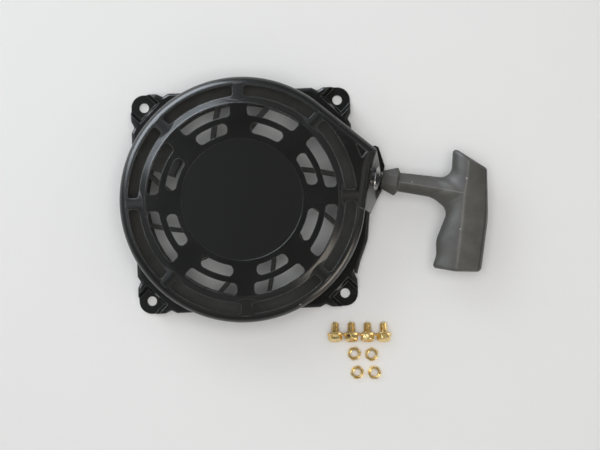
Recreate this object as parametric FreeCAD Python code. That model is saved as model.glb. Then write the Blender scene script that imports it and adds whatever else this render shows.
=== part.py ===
import FreeCAD, Part
import math
import os

from FreeCAD import Placement, Rotation, Vector

# A rewind (recoil) starter for a small engine, with its loose mounting screws and nuts.
# Units are millimetres.  The origin is on the pulley's axis, in the plane of the four mounting pads.
# +Z points away from the engine, towards the slotted top.  The rope leaves towards +X.

# ---- driving dimensions: pressed steel housing --------------------------------------------------
SHEET = 1.6                 # thickness of the steel
RIM_R = 70.0                # outside radius of the cup
RIM_ROUND = 5.5             # outside radius of the bend from the top into the wall
RING_Z = 41.2               # outer ring of the top
DISC_Z = 44.0               # raised middle of the top
DISC_R = 54.9               # edge of the raised middle
SLOPE_RUN = 3.3             # width of the slope from the middle down to the ring
SLOPE_ROUND = 1.2           # bend radius at the top of that slope
WALL_FOOT_Z = 1.0           # lower edge of the cup's wall
LABEL_R = 34.4              # shallow round dish in the middle
LABEL_DEPTH = 0.35

SLOT_RINGS = (              # inner radius, outer radius, width of the spoke between slots, corner radius
    (58.6, 64.9, 6.2, 1.9),
    (47.5, 54.1, 9.8, 2.2),
    (37.8, 44.0, 13.4, 2.6),
)
SLOT_COUNT = 8
RAMP_R = (50.0, 66.0)       # the raised middle runs out along each spoke between these radii
RAMP_HALF_W = (17.0, 8.5)   # half width of that swell's foot, at both ends
RAMP_STEPS = 6              # points on each side of its bell-shaped section

# ---- mounting ears -------------------------------------------------------------------------------
BOLT_SQUARE = 114.3         # hole to hole, 4.5 inches
BOLT_HOLE_R = 2.8
EAR_SIDE = 64.6             # half the width over the ears
EAR_ROUND = 7.6
EAR_TOP_Z = 9.0
EAR_EDGE = 2.0
PAD_INNER = 77.2            # inner edge of the pad, along the diagonal
PAD_HALF_W = 6.4
PAD_FLARE = 2.2             # how much wider the pad's pocket is at its mouth

# ---- rope exit -----------------------------------------------------------------------------------
WALL_TANGENT_DEG = 49.2     # where the straight wall leaves the round one
WALL_RUN = 41.5             # length of the straight wall, from there to the exit's corner
EXIT_FOOT = ((82.4, 9.2), (80.9, 2.2), (73.4, -10.6), (71.6, -26.5), (66.6, -39.0), (64.6, -46.0))
RIDGE = ((77.0, 25.6), (72.8, 15.0), (69.9, -1.0))
RIDGE_RUN = 9.7             # how far the sloping wall stands out at its foot
EXIT_SLOPE_END = ((60.0, -4.0), (74.0, -11.0))  # the sloping wall stops along this line
FOOT_TAB = (                # flat tab at the foot of the exit's corner, with corner radii
    (72.0, 27.0, 0.5),
    (78.4, 29.4, 1.0),
    (80.4, 28.2, 1.0),
    (83.6, 17.0, 1.0),
    (82.8, 13.4, 1.0),
    (76.0, 14.0, 0.5),
)
ROPE_Z = 20.0
GUIDE_XY = (76.8, 9.4)
PULL_DEG = -11.6            # direction of the pull, from +X
GUIDE_BORE_R = 3.4
GUIDE_NECK_R = 4.8
GUIDE_FLANGE_R = 6.8
GUIDE_FLANGE_T = 1.5
REACH = 200.0               # larger than the whole part, for cutting solids
DENT = ((63.6, 32.2), (72.6, 24.4), (68.4, 19.6))
DENT_DEPTH = 0.9

# ---- rope ----------------------------------------------------------------------------------------
ROPE_D = 4.0
LEAD_R = 65.0               # radius at which the rope runs off the winding
LEAD_BEND_R = 9.0
LEAD_BEND_U = -2.4          # the bend lies behind the middle of the guide, on its inner mouth
ROPE_GAP = 0.3

# ---- pulley --------------------------------------------------------------------------------------
PULLEY_R = 66.8
DRUM_R = 56.8
RING_IN_R = 55.0
GROOVE_W = 8.6
FLANGE_T = 1.8
HUB_R = 33.5
HUB_WALL = 2.0
HUB_TOP_Z = 38.5
WEB_Z = (26.0, 28.5)
BOSS_R = 11.0
BOSS_FOOT_Z = 17.5
BUSH_R = 8.5
POST_R = 6.0
RUNNING_FIT = 0.05
ARBOR_R = 10.0
ARBOR_FOOT_Z = 28.8
SPOKES = 12
SPOKE_T = 2.6
SPOKE_AT = (50.7, 105.2)    # radius and angle of a point on one spoke
SPOKE_LEAN = 25.0           # lean of a spoke from the radius
SPOKE_BOW = 0.7
KNOT_WEB_DEG = (137.5, 159.5)
KNOT_WEB_R = 42.0
KNOT_POCKET_R = 4.6
KNOT_POCKET_AT = (49.6, 148.0)
KNOT_D = 7.6

# ---- pawls, friction plate and centre screw ------------------------------------------------------
PAWL_PIVOT_R = 19.0
PAWL_PIN_R = 2.5
PAWL_TIP = (14.05, -20.07)
PAWL_PLAN = (               # along and across the arm from its pivot, corner radius
    (2.0, -3.9, 2.0),
    (19.0, -1.6, 1.0),
    (20.9, 1.2, 0.4),
    (16.5, 3.4, 2.0),
    (2.0, 3.9, 2.0),
)
PAWL_SWING = 17.0
PAWL_Z = (16.6, 22.6)
PAWL_HUB_R = 4.6
PEG_R = 1.2
PLATE_TURN = 34.0
PLATE_R = 25.4
PLATE_Z = (13.6, 15.6)
PLATE_RIM_Z = 12.6
PLATE_PLAY = 0.4            # end play of the friction plate above its washer
WASHER_T = 1.2
WASHER_R = 10.0
CENTRE_SCREW_AF = 8.0
CENTRE_SCREW_HEAD_H = 3.5
CENTRE_SCREW_FLANGE_R = 6.0
CENTRE_SCREW_FLANGE_T = 1.0
FRICTION_SPRING_W = 2.0
FRICTION_SPRING_T = 1.2
FRICTION_SPRING_GAP = 2.0
POST_FLANGE_R = 15.0
POST_FLANGE_T = 1.6
KEYWAY_W = 1.2
PIN_TOP_Z = 27.7            # blind ends of the pawl pins, inside the pulley
CENTRE_SCREW_D = 5.0
SPRING_T = 0.6
SPRING_Z = (29.4, 38.0)
SPRING_TURNS = 7
SPRING_IN_R = 11.4
SPRING_OUT_R = 30.4

# ---- grip ----------------------------------------------------------------------------------------
GRIP_HALF_T = 9.6
STEM_HALF_T = 5.8
STEM_FROM_U = 9.0           # the stem starts inside the collar
ARMS_FROM_U = 38.0          # the full thickness starts here
COLLAR_U = (4.0, 12.0, 13.6)
COLLAR_R = (5.7, 8.6)
GRIP_BORE_R = 2.6
KNOT_ROOM_U = (50.0, 60.0)
KNOT_ROOM_R = 5.2
PLUG_L = 4.0                # plug behind the knot
GRIP_EDGE = 3.2

# ---- loose hardware ------------------------------------------------------------------------------
SCREW_SHANK_R = 2.3
SCREW_SHANK_L = 7.0
SCREW_FLANGE_R = 4.75
SCREW_FLANGE_T = 0.9
SCREW_AF = 7.4
SCREW_HEX_H = 3.2
SCREW_FIRST = (50.2, -80.9)
SCREW_PITCH = 9.5
ROW_DEG = -2.4
NUT_AF = 7.4
NUT_H = 3.2
NUT_BORE_R = 2.1
HEX_CHAMFER = 0.35
NUTS_AT = ((61.0, -93.1, 8.0), (71.2, -94.0, 25.0), (62.3, -104.3, 12.0), (72.4, -104.8, 0.0))


# ---- helpers -------------------------------------------------------------------------------------
def polar(radius, degrees, z=0.0):
    """Point at a radius and an angle about the pulley's axis."""
    angle = math.radians(degrees)
    return Vector(radius * math.cos(angle), radius * math.sin(angle), z)


def turned(shape, degrees, centre=Vector(0, 0, 0)):
    """Copy of a shape turned about a vertical line."""
    copy = shape.copy()
    copy.rotate(centre, Vector(0, 0, 1), degrees)
    return copy


def cylinder(radius, low, high, centre=(0.0, 0.0)):
    """Upright cylinder between two heights."""
    return Part.makeCylinder(radius, high - low, Vector(centre[0], centre[1], low))


def tube(inner, outer, low, high, centre=(0.0, 0.0)):
    """Upright tube between two heights."""
    return cylinder(outer, low, high, centre).cut(cylinder(inner, low - 1, high + 1, centre))


def block(low, high):
    """Box between two opposite corners."""
    size = [b - a for a, b in zip(low, high)]
    return Part.makeBox(size[0], size[1], size[2], Vector(*low))


def rounded_outline(corners):
    """Closed wire in the plane z = 0 through (x, y, radius) corners, each rounded by a tangent arc."""
    count = len(corners)
    entries = []
    for index in range(count):
        here = Vector(corners[index][0], corners[index][1], 0)
        before = Vector(corners[index - 1][0], corners[index - 1][1], 0)
        after = Vector(corners[(index + 1) % count][0], corners[(index + 1) % count][1], 0)
        back = (before - here).normalize()
        ahead = (after - here).normalize()
        radius = corners[index][2]
        if radius <= 0:
            entries.append((here, None, here))
            continue
        half = back.getAngle(ahead) / 2
        reach = radius / math.tan(half)
        centre = here + (back + ahead).normalize() * (radius / math.sin(half))
        middle = centre + (here - centre).normalize() * radius
        entries.append((here + back * reach, middle, here + ahead * reach))
    edges = []
    for index in range(count):
        start, middle, end = entries[index]
        following = entries[(index + 1) % count][0]
        if middle is not None:
            edges.append(Part.Arc(start, middle, end).toShape())
        if (following - end).Length > 1e-6:
            edges.append(Part.LineSegment(end, following).toShape())
    return Part.Wire(edges)


def upright(wire, low, high, inset=0.0):
    """Prism on an outline drawn at z = 0, optionally drawn in by an inset."""
    face = Part.Face(wire)
    if inset > 0:
        face = face.makeOffset2D(-inset)
    prism = face.extrude(Vector(0, 0, high - low))
    prism.translate(Vector(0, 0, low))
    return prism


def spun(corners):
    """Solid of revolution about Z from a closed outline of (radius, z, rounding) corners."""
    wire = rounded_outline(corners)
    wire.rotate(Vector(0, 0, 0), Vector(1, 0, 0), 90)
    return Part.Face(wire).revolve(Vector(0, 0, 0), Vector(0, 0, 1), 360)


def arc_bar(start, middle, end, half_width, low, high, round_ends=False):
    """Bar of even width along the arc through three points, between two heights."""
    arc = Part.Arc(start, middle, end).toShape()
    circle = arc.Curve
    centre = circle.Center
    radius = circle.Radius

    def offset(point, distance):
        return centre + (point - centre).normalize() * (radius + distance)

    outer = Part.Arc(offset(start, half_width), offset(middle, half_width), offset(end, half_width))
    inner = Part.Arc(offset(end, -half_width), offset(middle, -half_width), offset(start, -half_width))
    edges = [
        outer.toShape(),
        Part.LineSegment(offset(end, half_width), offset(end, -half_width)).toShape(),
        inner.toShape(),
        Part.LineSegment(offset(start, -half_width), offset(start, half_width)).toShape(),
    ]
    bar = upright(Part.Wire(edges), low, high)
    if round_ends:
        for point in (start, end):
            bar = bar.fuse(cylinder(half_width, low, high, (point.x, point.y)))
    return bar


def hexagon(across_flats, low, high, centre=(0.0, 0.0), degrees=0.0):
    """Hexagonal prism with its upper and lower corners turned off at a slope."""
    corner_r = across_flats / math.sqrt(3)
    points = [polar(corner_r, degrees + 60 * k) for k in range(7)]
    prism = upright(Part.makePolygon(points), low, high)
    turned_blank = spun([
        (0, low, 0),
        (across_flats / 2, low, 0),
        (corner_r, low + HEX_CHAMFER, 0),
        (corner_r, high - HEX_CHAMFER, 0),
        (across_flats / 2, high, 0),
        (0, high, 0),
    ])
    nut = prism.common(turned_blank)
    nut.translate(Vector(centre[0], centre[1], 0))
    return nut


def rope_tube(points, bend_radius):
    """Rope along straight runs joined by tangent arcs of one radius."""
    edges = []
    start = points[0]
    for index in range(1, len(points) - 1):
        corner = points[index]
        back = (points[index - 1] - corner).normalize()
        ahead = (points[index + 1] - corner).normalize()
        half = back.getAngle(ahead) / 2
        reach = bend_radius / math.tan(half)
        centre = corner + (back + ahead).normalize() * (bend_radius / math.sin(half))
        middle = centre + (corner - centre).normalize() * bend_radius
        edges.append(Part.LineSegment(start, corner + back * reach).toShape())
        edges.append(Part.Arc(corner + back * reach, middle, corner + ahead * reach).toShape())
        start = corner + ahead * reach
    edges.append(Part.LineSegment(start, points[-1]).toShape())
    path = Part.Wire(edges)
    section = Part.Wire(Part.makeCircle(ROPE_D / 2, points[0], points[1] - points[0]))
    rope = path.makePipeShell([section], True, True)
    expected = math.pi * ROPE_D ** 2 / 4 * path.Length
    print("rope run of %.1f mm, volume / (section x length) = %.4f" % (path.Length, rope.Volume / expected))
    return rope


def along_pull(point_u, point_v=0.0, z=ROPE_Z):
    """Point given along and across the pull, measured from the rope guide."""
    angle = math.radians(PULL_DEG)
    x = GUIDE_XY[0] + point_u * math.cos(angle) - point_v * math.sin(angle)
    y = GUIDE_XY[1] + point_u * math.sin(angle) + point_v * math.cos(angle)
    return Vector(x, y, z)


def to_pull_axis(shape):
    """Move a shape drawn with +X as the pull and z = 0 at the rope into its place."""
    placed = shape.copy()
    placed.Placement = Placement(
        Vector(GUIDE_XY[0], GUIDE_XY[1], ROPE_Z), Rotation(Vector(0, 0, 1), PULL_DEG))
    return placed


# ---- housing -------------------------------------------------------------------------------------
def slope_normal(first, second, run):
    """Level outward direction of a wall below one edge of the top, and its outward normal."""
    along = Vector(second[0] - first[0], second[1] - first[1], 0).normalize()
    level = Vector(-along.y, along.x, 0)
    tilt = math.atan2(run, RING_Z)
    return level, level * math.cos(tilt) + Vector(0, 0, 1) * math.sin(tilt)


def rounded_slab(first, second, run, inset):
    """Everything behind one wall of the rope exit: flat top, tangent bend, then the wall's slope."""
    level, _ = slope_normal(first, second, run)
    tilt = math.atan2(run, RING_Z)
    top = RING_Z - inset
    edge = inset * ((1 - math.sin(tilt)) * math.tan(tilt) - math.cos(tilt))
    foot = -20.0
    corners = [
        (-REACH, top, 0),
        (edge, top, RIM_ROUND - inset),
        (edge + (top - foot) * math.tan(tilt), foot, 0),
        (-REACH, foot, 0),
    ]
    slab = Part.Face(rounded_outline(corners)).extrude(Vector(0, 0, 2 * REACH))
    slab.translate(Vector(0, 0, -REACH))
    slab.rotate(Vector(0, 0, 0), Vector(1, 0, 0), 90)
    slab.rotate(Vector(0, 0, 0), Vector(0, 0, 1), math.degrees(math.atan2(level.y, level.x)))
    slab.translate(Vector(first[0], first[1], 0))
    return slab


def straight_wall():
    """Ends of the straight wall: where it leaves the round one, and the exit's corner."""
    start = polar(RIM_R, WALL_TANGENT_DEG)
    along = Vector(start.y, -start.x, 0).normalize()
    return start, start + along * WALL_RUN


def exit_outline():
    """Plan of the housing's swelling around the rope exit, at its foot, run on past the tangent."""
    start, corner = straight_wall()
    behind = start + (start - corner) * 0.3
    corners = [(0, 0, 0), (behind.x, behind.y, 0), (corner.x, corner.y, 2.0)]
    roundings = (3.0, 3.0, 9.0, 20.0, 6.0, 0)
    for (x, y), rounding in zip(EXIT_FOOT, roundings):
        corners.append((x, y, rounding))
    return rounded_outline(corners)


def cup_envelope(inset):
    """Solid inside the outer surface of the cup (inset 0) or inside its inner surface (inset SHEET)."""
    foot = WALL_FOOT_Z if inset == 0 else -1.0
    top = RING_Z - inset
    outline = exit_outline()
    start, corner = straight_wall()
    past_tangent = turned(block((-REACH, 0, -REACH), (REACH, REACH, REACH)), WALL_TANGENT_DEG)
    swelling = upright(outline, foot, top, inset).cut(past_tangent)
    swelling = swelling.common(rounded_slab(start, corner, 0.0, inset))
    swelling = swelling.cut(past_slope(inset))
    near = swelling.common(rounded_slab(RIDGE[0], RIDGE[1], RIDGE_RUN, inset))
    far = swelling.common(rounded_slab(RIDGE[1], RIDGE[2], RIDGE_RUN, inset))
    flange = upright(outline, foot, EAR_TOP_Z - inset, inset)
    rim = [e for e in flange.Edges if on_height(e, EAR_TOP_Z - inset)]
    flange = flange.makeFillet(max(EAR_EDGE - inset, 0.3), rim).cut(past_tangent)
    cup = spun([
        (0, foot, 0),
        (RIM_R - inset, foot, 0),
        (RIM_R - inset, top, RIM_ROUND - inset),
        (0, top, 0),
    ])
    return cup.fuse([near, far, flange]).removeSplitter()


def past_slope(inset):
    """Everything beyond the line where the sloping wall of the rope exit stops."""
    (x0, y0), (x1, y1) = EXIT_SLOPE_END
    direction = math.degrees(math.atan2(y1 - y0, x1 - x0))
    beyond = turned(block((-REACH, -REACH, -REACH), (REACH, inset, REACH)), direction)
    beyond.translate(Vector(x0, y0, 0))
    return beyond


def on_height(edge, z):
    """True for an edge that lies in the level plane at z."""
    return abs(edge.BoundBox.ZMin - z) < 1e-4 and abs(edge.BoundBox.ZMax - z) < 1e-4


def raised_disc(inset):
    """Raised middle of the top, with its sloping edge."""
    slope = DISC_Z - RING_Z
    edge = DISC_R - inset * 0.3
    return spun([
        (0, RING_Z - inset - 1.0, 0),
        (edge + SLOPE_RUN + SLOPE_RUN / slope, RING_Z - inset - 1.0, 0),
        (edge, DISC_Z - inset, SLOPE_ROUND),
        (0, DISC_Z - inset, 0),
    ])


def spoke_ramps(inset):
    """Swells with a bell-shaped section that carry the raised middle down along the eight spokes."""
    floor = RING_Z - inset - 1.0

    def section(radius, top, half_width):
        rise = top - floor
        points = [
            Vector(radius, half_width * k / RAMP_STEPS, floor + rise * math.cos(math.pi * k / RAMP_STEPS / 2) ** 2)
            for k in range(-RAMP_STEPS, RAMP_STEPS + 1)
        ]
        bell = Part.BSplineCurve()
        bell.interpolate(points)
        return Part.Wire([bell.toShape(), Part.makeLine(points[-1], points[0])])

    start = section(RAMP_R[0], DISC_Z - inset - 0.02, RAMP_HALF_W[0])
    end = section(RAMP_R[1], RING_Z - inset + 0.02, RAMP_HALF_W[1])
    ramp = Part.makeLoft([start, end], True, True)
    return [turned(ramp, k * 360.0 / SLOT_COUNT) for k in range(SLOT_COUNT)]


def ear_envelope(inset):
    """One corner of the base, drawn at +X +Y, with its pressed-down pad."""
    hole = BOLT_SQUARE / 2
    side = EAR_SIDE
    notch = side - 1.8
    low = 0.0 if inset == 0 else -1.0
    outline = rounded_outline([
        (20, 20, 0),
        (20, side, 0),
        (42.2, side, 1.0),
        (45.4, notch, 1.2),
        (49.0, side, 2.5),
        (hole + EAR_ROUND, hole + EAR_ROUND, EAR_ROUND - 0.1),
        (side, 49.0, 2.5),
        (notch, 45.4, 1.2),
        (side, 42.2, 1.0),
        (side, 20, 0),
    ])
    body = upright(outline, low, EAR_TOP_Z - inset, inset)
    edge = max(EAR_EDGE - inset, 0.3)
    rim = [e for e in body.Edges if on_height(e, EAR_TOP_Z - inset)]
    body = body.makeFillet(edge, rim)
    return body.cut(pad_pocket(inset))


def pad_pocket(inset):
    """Pocket above the pad (inset 0), or the same grown by the sheet's thickness."""
    floor = SHEET - inset
    mouth = EAR_TOP_Z + 1.0
    far = 100.0

    def section(z, grow):
        inner = PAD_INNER - grow - inset
        half = PAD_HALF_W + grow + inset
        points = [
            Vector(inner, -half, z), Vector(far, -half, z), Vector(far, half, z), Vector(inner, half, z),
            Vector(inner, -half, z),
        ]
        return Part.makePolygon(points)

    pocket = Part.makeLoft([section(floor, 0.0), section(mouth, PAD_FLARE)], True, True)
    return turned(pocket, 45)


def slot_tools():
    """Solids that pierce the three rings of slots."""
    low = RING_Z - 12
    high = DISC_Z + 5
    tools = []
    for inner, outer, spoke, corner in SLOT_RINGS:
        ring = tube(inner, outer, low, high)
        for k in range(SLOT_COUNT // 2):
            bar = block((-100, -spoke / 2, low - 1), (100, spoke / 2, high + 1))
            ring = ring.cut(turned(bar, k * 360.0 / SLOT_COUNT))
        for slot in ring.Solids:
            upright_edges = [e for e in slot.Edges if e.BoundBox.ZLength > 5]
            tools.append(slot.makeFillet(corner, upright_edges))
    return tools


def exit_dent():
    """Shallow three-cornered dent pressed into the top beside the rope exit."""
    corners = [(x, y, 1.2) for x, y in DENT]
    floor = RING_Z - DENT_DEPTH
    low = Part.Face(rounded_outline(corners)).makeOffset2D(-0.8).OuterWire
    high = rounded_outline(corners)
    low.translate(Vector(0, 0, floor))
    high.translate(Vector(0, 0, RING_Z + 0.6))
    return Part.makeLoft([low, high], True, True)


def housing():
    """Pressed steel cup with a slotted top, four ears and a swelling for the rope exit."""
    outer = cup_envelope(0.0)
    inner = cup_envelope(SHEET)
    ear = ear_envelope(0.0)
    ear_room = ear_envelope(SHEET)
    quarter = [90 * k for k in range(4)]
    outer = outer.fuse([raised_disc(0.0)] + spoke_ramps(0.0) + [turned(ear, a) for a in quarter])
    inner = inner.fuse([raised_disc(SHEET)] + spoke_ramps(SHEET) + [turned(ear_room, a) for a in quarter])
    pockets = [turned(pad_pocket(0.0), a) for a in quarter]
    floors = [turned(pad_pocket(SHEET), a) for a in quarter]
    shell = outer.cut(pockets).cut(inner.cut(floors))
    shell = shell.cut(slot_tools())
    shell = shell.cut(exit_dent())
    shell = shell.cut(cylinder(LABEL_R, DISC_Z - LABEL_DEPTH, DISC_Z + 1))
    half = BOLT_SQUARE / 2
    holes = [cylinder(BOLT_HOLE_R, -1, 5, (sx * half, sy * half)) for sx in (-1, 1) for sy in (-1, 1)]
    shell = shell.cut(holes + [guide_along_normal(cylinder(GUIDE_NECK_R, -12, 12))])
    tab = upright(rounded_outline(FOOT_TAB), WALL_FOOT_Z, WALL_FOOT_Z + SHEET)
    shell = shell.fuse(tab.cut(inner)).removeSplitter()
    return max(shell.Solids, key=lambda solid: solid.Volume)


# ---- rope guide ----------------------------------------------------------------------------------
def guide_along_normal(shape):
    """Move a shape drawn about Z, with z = 0 on the wall's outer face, to the rope exit."""
    _, normal = slope_normal(RIDGE[1], RIDGE[2], RIDGE_RUN)
    base = Vector(RIDGE[1][0], RIDGE[1][1], RING_Z)
    centre = Vector(GUIDE_XY[0], GUIDE_XY[1], ROPE_Z)
    centre = centre - normal * (centre - base).dot(normal)
    placed = shape.copy()
    placed.Placement = Placement(centre, Rotation(Vector(0, 0, 1), normal))
    return placed


def rope_guide(shell):
    """Bright steel eyelet, riveted through the wall, its inner flange trimmed against the wall's bend."""
    back = -SHEET - GUIDE_FLANGE_T
    corners = [
        (GUIDE_BORE_R, back, 0.7),
        (GUIDE_FLANGE_R - 0.8, back, 0.6),
        (GUIDE_FLANGE_R - 0.8, -SHEET, 0),
        (GUIDE_NECK_R, -SHEET, 0),
        (GUIDE_NECK_R, 0, 0),
        (GUIDE_FLANGE_R, 0, 0),
        (GUIDE_FLANGE_R, GUIDE_FLANGE_T, 0.7),
        (GUIDE_BORE_R, GUIDE_FLANGE_T, 0.7),
    ]
    return guide_along_normal(spun(corners)).cut(shell)


# ---- rope ----------------------------------------------------------------------------------------
def rope_winding():
    """The rope's turns in the groove, as one ring."""
    half = GROOVE_W / 2 - 0.1
    inner = DRUM_R + 0.1
    outer = LEAD_R - ROPE_D / 2 - 0.4
    return spun([
        (inner, ROPE_Z - half, 1.0),
        (outer, ROPE_Z - half, 1.6),
        (outer, ROPE_Z + half, 1.6),
        (inner, ROPE_Z + half, 1.0),
    ])


def lead_route():
    """Route of the rope from the winding, round the guide's mouth and out along the pull."""
    bend = along_pull(LEAD_BEND_U)
    bearing = math.degrees(math.atan2(bend.y, bend.x))
    reach = math.hypot(bend.x, bend.y)
    leave = bearing + math.degrees(math.acos(LEAD_R / reach))
    return [polar(LEAD_R, leave, ROPE_Z), bend, along_pull(COLLAR_U[0] - ROPE_GAP)]


def rope_lead():
    """Rope from the winding through the guide, up to the grip."""
    return rope_tube(lead_route(), LEAD_BEND_R)


def rope_in_grip():
    """Rope through the stem of the grip, up to its knot."""
    points = [along_pull(COLLAR_U[0]), along_pull(KNOT_ROOM_U[0] + 2.0)]
    return rope_tube(points, LEAD_BEND_R)


def knot(centre):
    """Overhand knot, as a barrel with rounded ends."""
    half = KNOT_D / 2
    barrel = spun([(0, -half, 0), (half, -half, 2.4), (half, half, 2.4), (0, half, 0)])
    barrel.translate(centre)
    return barrel


def rope_grip_knot():
    """Knot behind the stem, inside the grip."""
    middle = (KNOT_ROOM_U[0] + 2.0) + KNOT_D / 2
    return knot(along_pull(middle))


def rope_pulley_knot():
    """Knot in the pulley's pocket."""
    return knot(polar(KNOT_POCKET_AT[0], KNOT_POCKET_AT[1], ROPE_Z))


# ---- pulley --------------------------------------------------------------------------------------
def spoke():
    """One swept spoke of the pulley."""
    radius, angle = SPOKE_AT
    through = polar(radius, angle)
    direction = polar(1.0, angle - SPOKE_LEAN)

    def at_radius(target):
        half_b = through.dot(direction)
        return through + direction * (-half_b + math.sqrt(half_b ** 2 - radius ** 2 + target ** 2))

    start = at_radius(HUB_R - 1.0)
    end = at_radius(RING_IN_R + 1.0)
    side = Vector(-direction.y, direction.x, 0)
    middle = (start + end) * 0.5 + side * SPOKE_BOW
    low, high = pulley_span()
    return arc_bar(start, middle, end, SPOKE_T / 2, low, high)


def pulley_span():
    """Lower and upper face of the pulley's rim."""
    half = GROOVE_W / 2 + FLANGE_T
    return ROPE_Z - half, ROPE_Z + half


def pulley():
    """Open moulded pulley: grooved rim, twelve swept spokes, spring housing and pawl bosses."""
    low, high = pulley_span()
    groove = GROOVE_W / 2
    rim = spun([
        (RING_IN_R, low, 0.5),
        (PULLEY_R, low, 0.6),
        (PULLEY_R, ROPE_Z - groove - 0.5, 0.3),
        (DRUM_R, ROPE_Z - groove, 0.8),
        (DRUM_R, ROPE_Z + groove, 0.8),
        (PULLEY_R, ROPE_Z + groove + 0.5, 0.3),
        (PULLEY_R, high, 0.6),
        (RING_IN_R, high, 0.5),
    ])
    inner = HUB_R - HUB_WALL
    hub = spun([
        (BUSH_R, BOSS_FOOT_Z, 0),
        (BOSS_R, BOSS_FOOT_Z, 0.5),
        (BOSS_R, WEB_Z[0], 1.0),
        (inner, WEB_Z[0], 1.0),
        (inner, low, 0.4),
        (HUB_R, low, 0.4),
        (HUB_R, HUB_TOP_Z, 0.6),
        (inner, HUB_TOP_Z, 0.6),
        (inner, WEB_Z[1], 1.0),
        (BUSH_R, WEB_Z[1], 0),
    ])
    pieces = [hub]
    first = spoke()
    for k in range(SPOKES):
        pieces.append(turned(first, k * 360.0 / SPOKES))
    for side in (0, 180):
        centre = polar(PAWL_PIVOT_R, side)
        pieces.append(cylinder(PAWL_HUB_R, PAWL_Z[1] + 0.3, WEB_Z[0] + 0.5, (centre.x, centre.y)))
    pieces.append(knot_web(low, high))
    body = rim.fuse(pieces)
    pins = []
    for side in (0, 180):
        centre = polar(PAWL_PIVOT_R, side)
        pins.append(cylinder(PAWL_PIN_R, 10, PIN_TOP_Z, (centre.x, centre.y)))
    pocket = polar(KNOT_POCKET_AT[0], KNOT_POCKET_AT[1])
    pins.append(cylinder(KNOT_POCKET_R, low - 1, high - 1.6, (pocket.x, pocket.y)))
    outward = polar(1.0, KNOT_POCKET_AT[1])
    passage = Part.makeCylinder(ROPE_D / 2 + 0.4, 12, Vector(pocket.x, pocket.y, ROPE_Z), outward)
    return body.cut(pins + [passage]).removeSplitter()


def knot_web(low, high):
    """Solid stretch between two spokes that holds the rope's knot."""
    first, last = KNOT_WEB_DEG
    middle = (first + last) / 2
    radius = (KNOT_WEB_R + RING_IN_R + 0.6) / 2
    half = (RING_IN_R + 0.6 - KNOT_WEB_R) / 2
    start = polar(radius, first)
    end = polar(radius, last)
    web = arc_bar(start, polar(radius, middle), end, half, low, high)
    return web


def pulley_bushing():
    """Bronze bush pressed into the pulley's boss; it runs on the centre post."""
    return spun([
        (POST_R + RUNNING_FIT, BOSS_FOOT_Z, 0.2),
        (BUSH_R, BOSS_FOOT_Z, 0.2),
        (BUSH_R, WEB_Z[1], 0.2),
        (POST_R + RUNNING_FIT, WEB_Z[1], 0.2),
    ])


def pawl_pins():
    """Two steel pins pressed into the pulley; the pawls swing on them."""
    pins = []
    for side in (0, 180):
        centre = polar(PAWL_PIVOT_R, side)
        pin = spun([
            (0, PAWL_Z[0] - 0.5, 0),
            (PAWL_PIN_R, PAWL_Z[0] - 0.5, 0.4),
            (PAWL_PIN_R, PIN_TOP_Z, 0.2),
            (0, PIN_TOP_Z, 0),
        ])
        pin.translate(Vector(centre.x, centre.y, 0))
        pins.append(pin)
    return Part.makeCompound(pins)


# ---- pawls and friction plate --------------------------------------------------------------------
def peg_point(swing):
    """Where the first pawl's peg is, with the pawl swung out by an angle in degrees."""
    pivot = Vector(PAWL_PIVOT_R, 0, 0)
    tip = Vector(PAWL_TIP[0], PAWL_TIP[1], 0)
    arm = (tip - pivot) * 0.5
    return pivot + Rotation(Vector(0, 0, 1), swing).multVec(arm)


def pawl(side):
    """Pawl that swings out into the flywheel's cup; its peg runs in the friction plate's cam slot."""
    tip = Vector(PAWL_TIP[0], PAWL_TIP[1], 0)
    pivot = Vector(PAWL_PIVOT_R, 0, 0)
    along = (tip - pivot).normalize()
    across = Vector(-along.y, along.x, 0)
    corners = []
    for distance, width, rounding in PAWL_PLAN:
        point = pivot + along * distance + across * width
        corners.append((point.x, point.y, rounding))
    low, high = PAWL_Z
    arm = upright(rounded_outline(corners), low, high)
    body = arm.fuse(cylinder(PAWL_HUB_R, low, high, (pivot.x, pivot.y)))
    peg = peg_point(0.0)
    body = body.fuse(cylinder(PEG_R, PLATE_Z[0] - PLATE_PLAY, low + 1, (peg.x, peg.y)))
    body = body.cut(cylinder(PAWL_PIN_R + RUNNING_FIT, low - 1, high + 1, (pivot.x, pivot.y)))
    return turned(body.removeSplitter(), side)


def friction_plate():
    """Moulded plate that drags on the friction spring and works the pawls through two cam slots."""
    low, high = PLATE_Z
    body = spun([
        (POST_R + 0.35, low, 0.2),
        (BOSS_R + 1.5, low, 0),
        (BOSS_R + 1.5, low + 0.5, 0),
        (PLATE_R - 2.0, low + 0.5, 0),
        (PLATE_R - 2.0, PLATE_RIM_Z, 0.3),
        (PLATE_R, PLATE_RIM_Z, 0.5),
        (PLATE_R, high, 0.5),
        (POST_R + 0.35, high, 0.2),
    ])
    path = []
    for share in (-0.06, 0.5, 1.06):
        point = peg_point(PAWL_SWING * share)
        path.append(Rotation(Vector(0, 0, 1), -PLATE_TURN * share).multVec(point))
    slot = arc_bar(path[0], path[1], path[2], PEG_R + 0.45, low - 2, high + 1, round_ends=True)
    return body.cut([slot, turned(slot, 180)])


def friction_spring():
    """Flat wire ring that presses the plate against its washer, with one gap."""
    inner = POST_R + 0.4
    low = PLATE_Z[1] + 0.3
    ring = tube(inner, inner + FRICTION_SPRING_W, low, low + FRICTION_SPRING_T)
    half_gap = FRICTION_SPRING_GAP / 2
    return ring.cut(block((0, -half_gap, 0), (REACH, half_gap, REACH)))


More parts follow.
